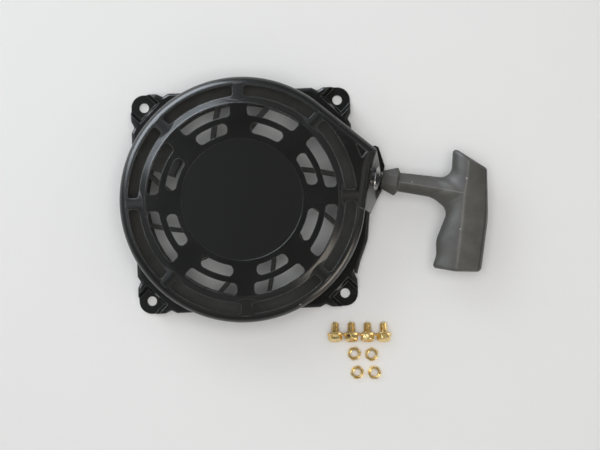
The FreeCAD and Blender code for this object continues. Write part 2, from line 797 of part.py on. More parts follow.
def centre_post():
    """Steel post welded under the top: spring arbor above, journal for the pulley below."""
    foot = PLATE_Z[0] - PLATE_PLAY
    underside = DISC_Z - SHEET
    post = spun([
        (0, foot, 0),
        (POST_R, foot, 0.3),
        (POST_R, ARBOR_FOOT_Z, 0),
        (ARBOR_R, ARBOR_FOOT_Z, 0.3),
        (ARBOR_R, underside - POST_FLANGE_T, 0),
        (POST_FLANGE_R, underside - POST_FLANGE_T, 0.4),
        (POST_FLANGE_R, underside, 0),
        (0, underside, 0),
    ])
    thread = cylinder(CENTRE_SCREW_D / 2, foot - 1, ARBOR_FOOT_Z)
    half = KEYWAY_W / 2
    keyway = block((ARBOR_R - 2.2, -half, SPRING_Z[0] - 0.3), (REACH, half, SPRING_Z[1] + 0.3))
    return post.cut([thread, keyway])


def centre_washer():
    """Flat washer between the centre screw and the friction plate."""
    high = PLATE_Z[0] - PLATE_PLAY
    hole_r = CENTRE_SCREW_D / 2 + 0.2
    return spun([
        (hole_r, high - WASHER_T, 0.2),
        (WASHER_R, high - WASHER_T, 0.3),
        (WASHER_R, high, 0.3),
        (hole_r, high, 0.2),
    ])


def centre_screw():
    """Flanged hexagon screw that holds the pulley, plate and washer on the post."""
    seat = PLATE_Z[0] - PLATE_PLAY - WASHER_T
    under = seat - CENTRE_SCREW_FLANGE_T
    flange = spun([
        (0, under, 0),
        (CENTRE_SCREW_FLANGE_R, under, 0.3),
        (CENTRE_SCREW_FLANGE_R, seat, 0.3),
        (0, seat, 0),
    ])
    head = hexagon(CENTRE_SCREW_AF, under - CENTRE_SCREW_HEAD_H + 0.1, under + 0.1)
    shank = cylinder(CENTRE_SCREW_D / 2, seat - 0.5, ARBOR_FOOT_Z - 2)
    return flange.fuse([head, shank]).removeSplitter()


def recoil_spring():
    """Flat spiral spring built from half turns, hooked on the post and in the pulley's hub."""
    growth = (SPRING_OUT_R - SPRING_IN_R) / (2 * SPRING_TURNS)
    half_t = SPRING_T / 2
    centre = Vector(0, 0, 0)
    side = Vector(1, 0, 0)
    radius = SPRING_IN_R
    first = (side * (radius + half_t), side * (radius - half_t))
    edges = [Part.LineSegment(first[1], first[0]).toShape()]
    for _ in range(2 * SPRING_TURNS):
        top = Vector(-side.y, side.x, 0)
        for reach in (radius + half_t, radius - half_t):
            half_turn = Part.Arc(centre + side * reach, centre + top * reach, centre - side * reach)
            edges.append(half_turn.toShape())
        last = (centre - side * (radius + half_t), centre - side * (radius - half_t))
        centre = centre + side * growth
        radius += growth
        side = side * -1
    edges.append(Part.LineSegment(last[0], last[1]).toShape())
    strip = upright(Part.Wire(Part.__sortEdges__(edges)), SPRING_Z[0], SPRING_Z[1])
    hook = block((ARBOR_R - 1.6, -half_t, SPRING_Z[0]), (SPRING_IN_R, half_t, SPRING_Z[1]))
    return strip.fuse(hook)


# ---- grip ----------------------------------------------------------------------------------------
def grip_outline():
    """Plan of the grip: stem, hooked short arm and long arm with a finger swell."""
    return rounded_outline([
        (10.0, -5.4, 0),
        (34.5, -5.6, 14.0),
        (44.5, -11.5, 6.5),
        (40.5, -29.5, 14.0),
        (42.0, -38.5, 12.0),
        (40.6, -46.6, 2.0),
        (54.0, -47.0, 8.0),
        (69.2, -45.0, 4.0),
        (68.2, -12.0, 60.0),
        (63.0, 15.9, 1.5),
        (41.6, 25.0, 1.8),
        (43.6, 7.0, 6.5),
        (10.0, 5.4, 0),
    ])


def grip():
    """Moulded T grip with a flared collar, bored for the rope and open at the back for its knot."""
    plan = grip_outline()
    body = upright(plan, -GRIP_HALF_T, GRIP_HALF_T)
    arm_zone = block((ARMS_FROM_U, -REACH, -REACH), (REACH, REACH, REACH))
    stem_zone = block((STEM_FROM_U, -REACH, -STEM_HALF_T), (KNOT_ROOM_U[0], REACH, STEM_HALF_T))
    body = body.common(arm_zone).fuse(body.common(stem_zone)).removeSplitter()
    faces_edges = []
    for edge in body.Edges:
        on_face = abs(abs(edge.CenterOfMass.z) - GRIP_HALF_T) < 0.01
        if on_face and edge.CenterOfMass.x > ARMS_FROM_U + 1 and edge.Length > 1.0:
            faces_edges.append(edge)
    body = body.makeFillet(GRIP_EDGE, faces_edges)
    collar = spun([
        (0, COLLAR_U[0], 0),
        (COLLAR_R[0], COLLAR_U[0], 0.5),
        (COLLAR_R[1], COLLAR_U[1], 0.5),
        (STEM_HALF_T, COLLAR_U[2], 0),
        (0, COLLAR_U[2], 0),
    ])
    collar.rotate(Vector(0, 0, 0), Vector(0, 1, 0), 90)
    body = body.fuse(collar)
    bore = Part.makeCylinder(GRIP_BORE_R, 60, Vector(0, 0, 0), Vector(1, 0, 0))
    room = Part.makeCylinder(KNOT_ROOM_R, 40, Vector(KNOT_ROOM_U[0], 0, 0), Vector(1, 0, 0))
    body = body.cut([bore, room]).removeSplitter()
    return to_pull_axis(body)


def grip_insert():
    """Plug pressed into the back of the grip, behind the knot."""
    plug = Part.makeCylinder(KNOT_ROOM_R, PLUG_L, Vector(KNOT_ROOM_U[1] + 0.6, 0, 0), Vector(1, 0, 0))
    return to_pull_axis(plug)


# ---- loose hardware ------------------------------------------------------------------------------
def lying_screw():
    """Hexagon washer-head screw lying on its washer's rim and the tip of its shank, tip towards +Y."""
    head = hexagon(SCREW_AF, -SCREW_FLANGE_T - SCREW_HEX_H, -SCREW_FLANGE_T + 0.2)
    washer = spun([
        (0, -SCREW_FLANGE_T, 0),
        (SCREW_FLANGE_R, -SCREW_FLANGE_T, 0.3),
        (SCREW_FLANGE_R, 0, 0.3),
        (0, 0, 0),
    ])
    shank = spun([
        (0, -0.2, 0),
        (SCREW_SHANK_R, -0.2, 0),
        (SCREW_SHANK_R, SCREW_SHANK_L, 0.7),
        (0, SCREW_SHANK_L, 0),
    ])
    screw = washer.fuse([head, shank]).removeSplitter()
    screw.rotate(Vector(0, 0, 0), Vector(1, 0, 0), -90)
    droop = math.degrees(math.asin((SCREW_FLANGE_R - SCREW_SHANK_R) / SCREW_SHANK_L))
    screw.rotate(Vector(0, 0, 0), Vector(1, 0, 0), -droop)
    screw.translate(Vector(0, 0, -screw.BoundBox.ZMin))
    return screw


def mounting_screws():
    """Four loose screws in a row beside the housing."""
    first = lying_screw()
    screws = []
    for k in range(4):
        screw = turned(first, ROW_DEG)
        shift = polar(SCREW_PITCH * k, ROW_DEG)
        screw.translate(Vector(SCREW_FIRST[0] + shift.x, SCREW_FIRST[1] + shift.y, 0))
        screws.append(screw)
    return Part.makeCompound(screws)


def mounting_nuts():
    """Four loose nuts lying flat."""
    nuts = []
    for x, y, degrees in NUTS_AT:
        nut = hexagon(NUT_AF, 0, NUT_H, (x, y), degrees)
        nuts.append(nut.cut(cylinder(NUT_BORE_R, -1, NUT_H + 1, (x, y))))
    return Part.makeCompound(nuts)


# ---- the whole part ------------------------------------------------------------------------------
def build():
    """Every sub-part by name."""
    shell = housing()
    return {
        "housing": shell,
        "rope_guide": rope_guide(shell),
        "centre_post": centre_post(),
        "centre_washer": centre_washer(),
        "centre_screw": centre_screw(),
        "friction_spring": friction_spring(),
        "recoil_spring": recoil_spring(),
        "rope_lead": rope_lead(),
        "pulley": pulley(),
        "pulley_bushing": pulley_bushing(),
        "pawl_pins": pawl_pins(),
        "rope_winding": rope_winding(),
        "rope_pulley_knot": rope_pulley_knot(),
        "friction_plate": friction_plate(),
        "pawl_1": pawl(0),
        "pawl_2": pawl(180),
        "grip": grip(),
        "grip_insert": grip_insert(),
        "rope_in_grip": rope_in_grip(),
        "rope_grip_knot": rope_grip_knot(),
        "mounting_screws": mounting_screws(),
        "mounting_nuts": mounting_nuts(),
    }


def main():
    os.makedirs("parts", exist_ok=True)
    for name, shape in build().items():
        box = shape.BoundBox
        print("%-18s solids %2d valid %s  x %.1f..%.1f  y %.1f..%.1f  z %.1f..%.1f" % (
            name, len(shape.Solids), shape.isValid(),
            box.XMin, box.XMax, box.YMin, box.YMax, box.ZMin, box.ZMax))
        shape.exportStep("parts/%s.step" % name)


main()
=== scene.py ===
import bmesh
import bpy
import math
import numpy as np
from mathutils import Matrix, Vector


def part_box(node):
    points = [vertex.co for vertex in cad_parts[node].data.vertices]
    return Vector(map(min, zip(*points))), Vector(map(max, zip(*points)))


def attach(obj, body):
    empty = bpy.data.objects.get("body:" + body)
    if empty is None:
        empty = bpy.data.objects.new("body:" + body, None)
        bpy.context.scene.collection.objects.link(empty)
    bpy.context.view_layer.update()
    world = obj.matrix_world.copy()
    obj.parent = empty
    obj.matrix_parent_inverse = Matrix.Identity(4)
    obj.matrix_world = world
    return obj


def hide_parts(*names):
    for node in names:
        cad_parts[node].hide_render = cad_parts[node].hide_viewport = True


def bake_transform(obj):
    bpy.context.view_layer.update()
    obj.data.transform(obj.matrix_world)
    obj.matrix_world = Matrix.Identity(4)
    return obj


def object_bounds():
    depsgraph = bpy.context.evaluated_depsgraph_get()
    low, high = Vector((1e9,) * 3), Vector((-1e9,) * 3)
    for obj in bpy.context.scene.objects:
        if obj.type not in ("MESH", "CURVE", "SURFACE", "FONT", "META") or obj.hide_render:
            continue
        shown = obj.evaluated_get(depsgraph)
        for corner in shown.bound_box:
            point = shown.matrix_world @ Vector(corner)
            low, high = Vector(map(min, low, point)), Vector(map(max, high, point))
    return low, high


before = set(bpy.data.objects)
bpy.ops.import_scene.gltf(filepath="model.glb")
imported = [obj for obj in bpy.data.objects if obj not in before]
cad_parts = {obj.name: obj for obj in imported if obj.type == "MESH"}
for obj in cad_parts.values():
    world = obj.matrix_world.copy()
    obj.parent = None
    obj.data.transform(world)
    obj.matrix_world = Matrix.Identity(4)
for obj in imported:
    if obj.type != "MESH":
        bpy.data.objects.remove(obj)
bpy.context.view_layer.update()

# Rewind starter of a small engine, with its loose screws and nuts.
# Lengths are in metres, in the frame of the CAD model: origin on the pulley's axis, in the plane of the pads.

MM = 0.001
TURN = 2 * math.pi
ROPE_Z = 20.0 * MM                          # height of the rope's line
GUIDE = np.array([76.8, 9.4, 20.0]) * MM    # middle of the rope guide
PULL_DEG = -11.6                            # direction of the pull, from +X
PULL = np.array([math.cos(math.radians(PULL_DEG)), math.sin(math.radians(PULL_DEG)), 0.0])
ACROSS = np.array([-PULL[1], PULL[0], 0.0])
UP = np.array([0.0, 0.0, 1.0])
ROPE_R = 2.0 * MM
BRAID_PITCH = 2.2 * MM
DISH_R = 34.4 * MM                          # round dish pressed into the middle of the top
DISH_ABOVE_Z = 43.0 * MM

CAMERA_AT = (0.0321, -0.0158, 0.9)
CAMERA_LENS = 91.1
CAMERA_RIGHT = (0.9991, -0.0419, 0.0)
CAMERA_UP = (0.0419, 0.9991, 0.0)

LIGHTS_AIM_AT = (0.03, 0.0, 0.0)
COOL = (0.92, 0.96, 1.0)
WARM = (1.0, 0.97, 0.93)
FLOOR_HALF_SIDE = 6.0


# ---- camera and lights ------------------------------------------------------------------------------
def place_camera():
    """Camera 0.9 m straight above, turned a little about its own axis."""
    data = bpy.data.cameras.new("camera")
    data.sensor_width = 36.0
    data.lens = CAMERA_LENS
    camera = bpy.data.objects.new("camera", data)
    turn = Matrix((CAMERA_RIGHT, CAMERA_UP, tuple(UP))).transposed().to_4x4()
    turn.translation = Vector(CAMERA_AT)
    camera.matrix_world = turn
    bpy.context.scene.collection.objects.link(camera)
    bpy.context.scene.camera = camera


def area_light(name, place, size, power, colour, lights_matt=True, lights_gloss=True):
    """Oblong soft light that faces the part. It may be left out of matt shading or of reflections."""
    data = bpy.data.lights.new(name, "AREA")
    data.shape = "RECTANGLE"
    data.size = size[0]
    data.size_y = size[1]
    data.energy = power
    data.color = colour
    light = bpy.data.objects.new(name, data)
    light.location = place
    aim_line = Vector(LIGHTS_AIM_AT) - Vector(place)
    light.rotation_euler = aim_line.to_track_quat("-Z", "Y").to_euler()
    light.visible_diffuse = lights_matt
    light.visible_glossy = lights_gloss
    bpy.context.scene.collection.objects.link(light)


def light_room():
    """Ring of soft panels overhead, a cool window at the upper left and a warm lamp at the lower right.
    The window and the lamp show as reflections only; the daylight and the overhead light shade only."""
    area_light("panel north", (0.03, 0.66, 0.95), (1.3, 0.5), 1.4, COOL)
    area_light("panel west", (-0.63, 0.0, 0.95), (0.5, 0.9), 1.4, COOL)
    area_light("panel south", (0.03, -0.66, 0.95), (1.3, 0.5), 1.0, WARM)
    area_light("panel east", (0.69, 0.0, 0.95), (0.5, 0.9), 1.0, WARM)
    area_light("window", (-0.80, 0.95, 0.60), (1.5, 0.9), 40.0, (0.84, 0.92, 1.0), lights_matt=False)
    area_light("lamp", (0.95, -0.80, 0.45), (0.6, 0.45), 6.0, (1.0, 0.90, 0.78), lights_matt=False)
    area_light("daylight", (-0.80, 0.95, 0.90), (1.0, 0.9), 4.5, (0.93, 0.97, 1.0), lights_gloss=False)
    area_light("overhead", (0.03, 0.0, 1.3), (0.7, 0.7), 8.5, (1.0, 1.0, 1.0), lights_gloss=False)


def light_from_afar():
    """Room beyond the lights: pale at the height of the floor, dark overhead."""
    world = bpy.data.worlds.new("room")
    bpy.context.scene.world = world
    world.use_nodes = True
    tree = world.node_tree
    sky = tree.nodes["Background"]
    coords = tree.nodes.new("ShaderNodeTexCoord")
    split = tree.nodes.new("ShaderNodeSeparateXYZ")
    ramp = tree.nodes.new("ShaderNodeValToRGB")
    tree.links.new(coords.outputs["Generated"], split.inputs[0])
    tree.links.new(split.outputs["Z"], ramp.inputs["Fac"])
    tree.links.new(ramp.outputs["Color"], sky.inputs["Color"])
    low, high = ramp.color_ramp.elements
    low.position = 0.0
    low.color = (0.95, 0.96, 1.0, 1.0)
    high.position = 0.85
    high.color = (0.10, 0.10, 0.10, 1.0)
    sky.inputs["Strength"].default_value = 0.45


# ---- building nodes ---------------------------------------------------------------------------------
def feed(tree, socket, value):
    """Link a socket to another node's output, or set it to a plain value."""
    if isinstance(value, bpy.types.NodeSocket):
        tree.links.new(value, socket)
    else:
        socket.default_value = value


def node(tree, kind, inputs=None, **settings):
    """One shader node, with its settings, and its inputs given as values or as other nodes' outputs."""
    made = tree.nodes.new("ShaderNode" + kind)
    for name, value in settings.items():
        setattr(made, name, value)
    for name, value in (inputs or {}).items():
        feed(tree, made.inputs[name], value)
    return made


def maths(tree, operation, first, second=0.0, third=0.0, clamp=False):
    """Output of one Math node."""
    made = node(tree, "Math", {0: first, 1: second, 2: third}, operation=operation, use_clamp=clamp)
    return made.outputs[0]


def spread(tree, value, low, high, to_low=0.0, to_high=1.0):
    """A value carried smoothly from one span to another."""
    made = node(tree, "MapRange", {
        "Value": value, "From Min": low, "From Max": high, "To Min": to_low, "To Max": to_high,
    }, interpolation_type="SMOOTHSTEP")
    return made.outputs["Result"]


def blend_colour(tree, share, first, second):
    """Output of one colour Mix node."""
    made = tree.nodes.new("ShaderNodeMix")
    made.data_type = "RGBA"
    for index, value in ((0, share), (6, first), (7, second)):
        feed(tree, made.inputs[index], value)
    return made.outputs[2]


def new_group(name, inputs, outputs):
    """Empty shader node group with named inputs, as (name, kind, default), and outputs, as (name, kind)."""
    tree = bpy.data.node_groups.new(name, "ShaderNodeTree")
    for title, kind, default in inputs:
        socket = tree.interface.new_socket(title, in_out="INPUT", socket_type="NodeSocket" + kind)
        if default is not None:
            socket.default_value = default
    for title, kind in outputs:
        tree.interface.new_socket(title, in_out="OUTPUT", socket_type="NodeSocket" + kind)
    entry = tree.nodes.new("NodeGroupInput")
    leave = tree.nodes.new("NodeGroupOutput")
    return tree, entry, leave


def edge_group():
    """Where the surface turns over an edge: the rounded normal against the true one.
    Its mask places the painted highlights along edges.
    """
    tree, entry, leave = new_group(
        "edge rounding and painted highlight", [("Radius", "Float", 0.0004), ("Reach", "Float", 0.12)],
        [("Mask", "Float"), ("Normal", "Vector")])
    bevel = node(tree, "Bevel", {"Radius": entry.outputs["Radius"]}, samples=6)
    true = node(tree, "NewGeometry")
    dot = node(tree, "VectorMath", {0: bevel.outputs[0], 1: true.outputs["Normal"]}, operation="DOT_PRODUCT")
    turn = maths(tree, "SUBTRACT", 1.0, dot.outputs["Value"])
    mask = maths(tree, "DIVIDE", turn, entry.outputs["Reach"], clamp=True)
    tree.links.new(mask, leave.inputs["Mask"])
    tree.links.new(bevel.outputs[0], leave.inputs["Normal"])
    return tree


def grain_group():
    """Fine grain and broad clouds of tone, both from the object's own coordinates."""
    tree, entry, leave = new_group(
        "grain", [("Fine", "Float", 2500.0), ("Broad", "Float", 45.0)],
        [("Height", "Float"), ("Clouds", "Float")])
    coords = node(tree, "TexCoord")
    fine = node(tree, "TexNoise", {
        "Vector": coords.outputs["Object"], "Scale": entry.outputs["Fine"], "Detail": 2.0, "Roughness": 0.55})
    broad = node(tree, "TexNoise", {
        "Vector": coords.outputs["Object"], "Scale": entry.outputs["Broad"], "Detail": 5.0, "Roughness": 0.6})
    tree.links.new(fine.outputs["Fac"], leave.inputs["Height"])
    tree.links.new(broad.outputs["Fac"], leave.inputs["Clouds"])
    return tree


def speck_group():
    """Sparse specks of dust: a few of the cells of a fine cell pattern, each with a small round middle."""
    tree, entry, leave = new_group(
        "dust specks", [("Scale", "Float", 260.0), ("Share", "Float", 0.05), ("Size", "Float", 0.12)],
        [("Mask", "Float")])
    coords = node(tree, "TexCoord")
    cells = node(tree, "TexVoronoi", {"Vector": coords.outputs["Object"], "Scale": entry.outputs["Scale"]})
    tint = node(tree, "SeparateColor", {0: cells.outputs["Color"]})
    chosen = maths(tree, "LESS_THAN", tint.outputs[0], entry.outputs["Share"])
    size = maths(tree, "MULTIPLY", entry.outputs["Size"], tint.outputs[1])
    inside = maths(tree, "LESS_THAN", cells.outputs["Distance"], size)
    tree.links.new(maths(tree, "MULTIPLY", chosen, inside), leave.inputs["Mask"])
    return tree


def braid_group():
    """Sixteen-strand braid: two families of strands wind opposite ways and pass over one another by turns.
    Along is the distance along the cord, in strand pitches, and Around is one per turn.
    Gap is low between the strands, where the rope's finish paints shade."""
    tree, entry, leave = new_group(
        "braid", [("Along", "Float", 0.0), ("Around", "Float", 0.0)], [("Height", "Float"), ("Gap", "Float")])
    strands_per_family = 8.0
    around = maths(tree, "MULTIPLY", entry.outputs["Around"], strands_per_family)
    families = []
    for sign in ("ADD", "SUBTRACT"):
        phase = maths(tree, sign, entry.outputs["Along"], around)
        wave = maths(tree, "SINE", maths(tree, "MULTIPLY", phase, math.pi))
        families.append(maths(tree, "ABSOLUTE", wave))
    over = maths(tree, "SINE", maths(tree, "MULTIPLY", entry.outputs["Along"], TURN))
    over = maths(tree, "MULTIPLY_ADD", over, 0.25, 0.5)
    first = maths(tree, "MULTIPLY", families[0], over)
    second = maths(tree, "MULTIPLY", families[1], maths(tree, "SUBTRACT", 1.0, over))
    height = maths(tree, "MAXIMUM", first, second)
    tree.links.new(height, leave.inputs["Height"])
    tree.links.new(spread(tree, height, 0.1, 0.45), leave.inputs["Gap"])
    return tree


EDGES = edge_group()
GRAIN = grain_group()
SPECKS = speck_group()
BRAID = braid_group()


def new_material(name):
    """Material with an empty Principled surface."""
    material = bpy.data.materials.new(name)
    material.use_nodes = True
    tree = material.node_tree
    return material, tree, tree.nodes["Principled BSDF"]


def placed_group(tree, group, inputs=None):
    """A group's node in a material, with its own values."""
    made = tree.nodes.new("ShaderNodeGroup")
    made.node_tree = group
    for name, value in (inputs or {}).items():
        feed(tree, made.inputs[name], value)
    return made


def finish_surface(tree, surface, colour, roughness, height, normal, depth, **fixed):
    """Join colour, roughness and a bump to the surface, and set its plain values."""
    feed(tree, surface.inputs["Base Color"], colour)
    feed(tree, surface.inputs["Roughness"], roughness)
    bump = node(tree, "Bump", {"Height": height, "Distance": depth})
    if normal is not None:
        tree.links.new(normal, bump.inputs["Normal"])
    tree.links.new(bump.outputs["Normal"], surface.inputs["Normal"])
    for name, value in fixed.items():
        surface.inputs[name.replace("_", " ")].default_value = value


# ---- materials --------------------------------------------------------------------------------------
def painted_steel():
    """Semi-gloss black paint; the round dish in the middle is satin; its edges carry a painted highlight and
    dust lies on it.
    """
    material, tree, surface = new_material("black semi-gloss paint")
    edges = placed_group(tree, EDGES, {"Radius": 0.00045, "Reach": 0.11})
    grain = placed_group(tree, GRAIN, {"Fine": 1900.0, "Broad": 60.0})
    dust = placed_group(tree, SPECKS, {"Scale": 230.0, "Share": 0.035, "Size": 0.16})
    coords = node(tree, "TexCoord")
    place = node(tree, "SeparateXYZ", {0: coords.outputs["Object"]})
    flat = node(tree, "CombineXYZ", {0: place.outputs["X"], 1: place.outputs["Y"], 2: 0.0})
    radius = node(tree, "VectorMath", {0: flat.outputs[0]}, operation="LENGTH").outputs["Value"]
    inside = spread(tree, radius, DISH_R - 0.4 * MM, DISH_R + 0.6 * MM, 1.0, 0.0)
    level = maths(tree, "GREATER_THAN", place.outputs["Z"], DISH_ABOVE_Z)
    dish = maths(tree, "MULTIPLY", inside, level)
    clouds = grain.outputs["Clouds"]
    gloss = spread(tree, clouds, 0.3, 0.7, 0.20, 0.28)
    roughness = node(tree, "Mix", {0: dish, 2: gloss, 3: 0.30}).outputs[0]
    roughness = maths(tree, "MULTIPLY_ADD", dust.outputs["Mask"], 0.4, roughness, clamp=True)
    from_dish = maths(tree, "ABSOLUTE", maths(tree, "SUBTRACT", radius, DISH_R))
    # Painted highlight: a pale colour along the edges, in clouds, kept off the rim of the dish.
    edge_highlight = maths(tree, "MULTIPLY", edges.outputs["Mask"], spread(tree, clouds, 0.35, 0.65, 0.35, 0.8))
    edge_highlight = maths(tree, "MULTIPLY", edge_highlight, spread(tree, from_dish, 0.4 * MM, 1.2 * MM, 0.1, 1.0))
    colour = blend_colour(tree, edge_highlight, (0.0065, 0.0065, 0.0060, 1), (0.24, 0.24, 0.23, 1))
    dusty = maths(tree, "MULTIPLY", dust.outputs["Mask"], 0.5)
    colour = blend_colour(tree, dusty, colour, (0.35, 0.33, 0.30, 1))
    finish_surface(tree, surface, colour, roughness, grain.outputs["Height"], edges.outputs["Normal"],
                   0.03 * MM)
    return material


def moulded_plastic(name, colour, pale, roughness, fine=2200.0, depth=0.04 * MM, specks=0.0, reach=0.3,
                    lines=False):
    """Moulded plastic or rubber: fine matt grain, clouds of tone, edges made paler as a painted highlight,
    with a little dust.
    With lines, the piece's own marks paint light: painted shade in its grooves, painted highlights on its
    ridges and strips."""
    material, tree, surface = new_material(name)
    edges = placed_group(tree, EDGES, {"Radius": 0.0006, "Reach": reach})
    grain = placed_group(tree, GRAIN, {"Fine": fine, "Broad": 70.0})
    tone = spread(tree, grain.outputs["Clouds"], 0.3, 0.7)
    mixed = blend_colour(tree, maths(tree, "MULTIPLY", tone, 0.35), colour, pale)
    # Painted highlight: a paler colour along the edges.
    mixed = blend_colour(tree, maths(tree, "MULTIPLY", edges.outputs["Mask"], 0.5), mixed, pale)
    gloss = spread(tree, grain.outputs["Clouds"], 0.25, 0.75, roughness + 0.07, roughness - 0.07)
    if lines:
        # Painted light from the marks: painted shade in the groove, painted highlights on the ridge and the
        # edge strips.
        mark = node(tree, "Attribute", attribute_name="lines").outputs["Fac"]
        groove = maths(tree, "MULTIPLY", mark, 0.9, clamp=True)
        patchy = spread(tree, grain.outputs["Clouds"], 0.35, 0.65, -0.55, -0.95)
        ridge = maths(tree, "MULTIPLY", mark, patchy, clamp=True)
        mixed = blend_colour(tree, groove, mixed, (0.008, 0.008, 0.007, 1))
        mixed = blend_colour(tree, ridge, mixed, (0.26, 0.255, 0.235, 1))
    if specks > 0:
        dust = placed_group(tree, SPECKS, {"Scale": 420.0, "Share": specks, "Size": 0.3})
        dusty = maths(tree, "MULTIPLY", dust.outputs["Mask"], 0.35)
        mixed = blend_colour(tree, dusty, mixed, (0.5, 0.48, 0.45, 1))
    finish_surface(tree, surface, mixed, gloss, grain.outputs["Height"], edges.outputs["Normal"], depth)
    return material


def plated_steel(name, colour, shade, roughness, metallic=1.0, fine=3000.0, broad=160.0, depth=0.01 * MM):
    """Plated or bare metal: edges made bright as a painted highlight, clouded, with a fine uneven surface."""
    material, tree, surface = new_material(name)
    edges = placed_group(tree, EDGES, {"Radius": 0.0003, "Reach": 0.3})
    grain = placed_group(tree, GRAIN, {"Fine": fine, "Broad": broad})
    tone = spread(tree, grain.outputs["Clouds"], 0.35, 0.65)
    mixed = blend_colour(tree, tone, colour, shade)
    # Painted highlight: a near-white colour along the edges.
    edge_highlight = maths(tree, "MULTIPLY", edges.outputs["Mask"], 0.4)
    mixed = blend_colour(tree, edge_highlight, mixed, (0.9, 0.88, 0.82, 1))
    gloss = spread(tree, grain.outputs["Clouds"], 0.3, 0.7, roughness, roughness + 0.12)
    finish_surface(tree, surface, mixed, gloss, grain.outputs["Height"], edges.outputs["Normal"], depth,
                   Metallic=metallic)
    return material


def braided_rope(name, from_pull):
    """Black braided nylon, a little dusty, with painted shade between the strands.
    The braid follows the piece's own map, or the line of the pull.
    """
    material, tree, surface = new_material(name)
    coords = node(tree, "TexCoord")
    if from_pull:
        moved = node(tree, "VectorMath", {0: coords.outputs["Object"], 1: tuple(GUIDE)}, operation="SUBTRACT")
        parts = []
        for axis in (tuple(PULL), tuple(ACROSS), tuple(UP)):
            dot = node(tree, "VectorMath", {0: moved.outputs[0], 1: axis}, operation="DOT_PRODUCT")
            parts.append(dot.outputs["Value"])
        along = maths(tree, "DIVIDE", parts[0], BRAID_PITCH)
        around = maths(tree, "DIVIDE", maths(tree, "ARCTAN2", parts[2], parts[1]), TURN)
    else:
        chart = node(tree, "SeparateXYZ", {0: coords.outputs["UV"]})
        along = maths(tree, "DIVIDE", chart.outputs["X"], BRAID_PITCH)
        around = chart.outputs["Y"]
    braid = placed_group(tree, BRAID, {"Along": along, "Around": around})
    grain = placed_group(tree, GRAIN, {"Fine": 5000.0, "Broad": 220.0})
    dusty = spread(tree, grain.outputs["Clouds"], 0.4, 0.75)
    colour = blend_colour(tree, dusty, (0.030, 0.030, 0.030, 1), (0.075, 0.072, 0.066, 1))
    # Painted shade: near-black where the braid is low, between the strands.
    colour = blend_colour(tree, braid.outputs["Gap"], (0.008, 0.008, 0.008, 1), colour)
    height = maths(tree, "MULTIPLY_ADD", grain.outputs["Height"], 0.15, braid.outputs["Height"])
    finish_surface(tree, surface, colour, 0.8, height, None, 0.4 * MM, Sheen_Weight=0.2)
    return material


def plain_floor():
    """Pale floor, with hardly visible clouds of tone."""
    material, tree, surface = new_material("pale floor")
    grain = placed_group(tree, GRAIN, {"Fine": 900.0, "Broad": 3.0})
    colour = blend_colour(tree, grain.outputs["Clouds"], (0.80, 0.79, 0.775, 1), (0.83, 0.825, 0.815, 1))
    finish_surface(tree, surface, colour, 0.6, grain.outputs["Height"], None, 0.01 * MM)
    return material


# ---- making meshes ----------------------------------------------------------------------------------
def finished_piece(name, points, faces, material, body, replaced=(), uv=None, marks=None,
                   sharp_deg=40.0):
    """Mesh object from points and faces, merged, smoothed, given its finish and set to ride on a body.
    A uv has one pair for each face corner, and marks have one value for each point."""
    mesh = bpy.data.meshes.new(name)
    mesh.from_pydata(np.asarray(points).tolist(), [], np.asarray(faces).tolist())
    if uv is not None:
        layer = mesh.uv_layers.new(name="cord")
        layer.data.foreach_set("uv", np.asarray(uv, np.float32).ravel())
    if marks is not None:
        layer = mesh.attributes.new("lines", "FLOAT", "POINT")
        layer.data.foreach_set("value", np.asarray(marks, np.float32))
    work = bmesh.new()
    work.from_mesh(mesh)
    bmesh.ops.remove_doubles(work, verts=work.verts, dist=2e-6)
    bmesh.ops.recalc_face_normals(work, faces=work.faces)
    work.to_mesh(mesh)
    work.free()
    mesh.shade_smooth()
    mesh.set_sharp_from_angle(angle=math.radians(sharp_deg))
    mesh.materials.append(material)
    piece = bpy.data.objects.new(name, mesh)
    bpy.context.scene.collection.objects.link(piece)
    if body:
        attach(piece, body)
    for cad_node in replaced:
        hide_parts(cad_node)
    return piece


def grid_faces(rows, columns, wrap_rows=False, wrap_columns=False):
    """Quads of a grid of rows by columns points, joined end to end where it wraps."""
    row = np.arange(rows if wrap_rows else rows - 1)
    column = np.arange(columns if wrap_columns else columns - 1)
    r, c = np.meshgrid(row, column, indexing="ij")
    r2 = (r + 1) % rows
    c2 = (c + 1) % columns
    quads = np.stack([r * columns + c, r2 * columns + c, r2 * columns + c2, r * columns + c2], axis=-1)
    return quads.reshape(-1, 4)


def rounded_path(corners, step):
    """Points along a closed outline of (x, y, radius) corners, each rounded by a tangent arc, a step apart.
    Also gives each point's distance along the outline."""
    count = len(corners)
    pieces = []
    for index in range(count):
        here = np.array(corners[index][:2])
        before = np.array(corners[index - 1][:2])
        after = np.array(corners[(index + 1) % count][:2])
        radius = corners[index][2]
        back = (before - here) / np.linalg.norm(before - here)
        ahead = (after - here) / np.linalg.norm(after - here)
        half = math.acos(np.clip(back @ ahead, -1, 1)) / 2
        centre = here + (back + ahead) / np.linalg.norm(back + ahead) * radius / math.sin(half)
        first = here + back * radius / math.tan(half) - centre
        turn = math.pi - 2 * half
        sign = 1.0 if back[0] * ahead[1] - back[1] * ahead[0] < 0 else -1.0
        angles = np.linspace(0, turn, max(3, int(radius * turn / step) + 2)) * sign
        pieces.append(np.stack([
            centre[0] + first[0] * np.cos(angles) - first[1] * np.sin(angles),
            centre[1] + first[0] * np.sin(angles) + first[1] * np.cos(angles)], axis=1))
    outline = np.concatenate(pieces + [pieces[0][:1]])
    lengths = np.concatenate([[0], np.cumsum(np.linalg.norm(np.diff(outline, axis=0), axis=1))])
    return outline, lengths


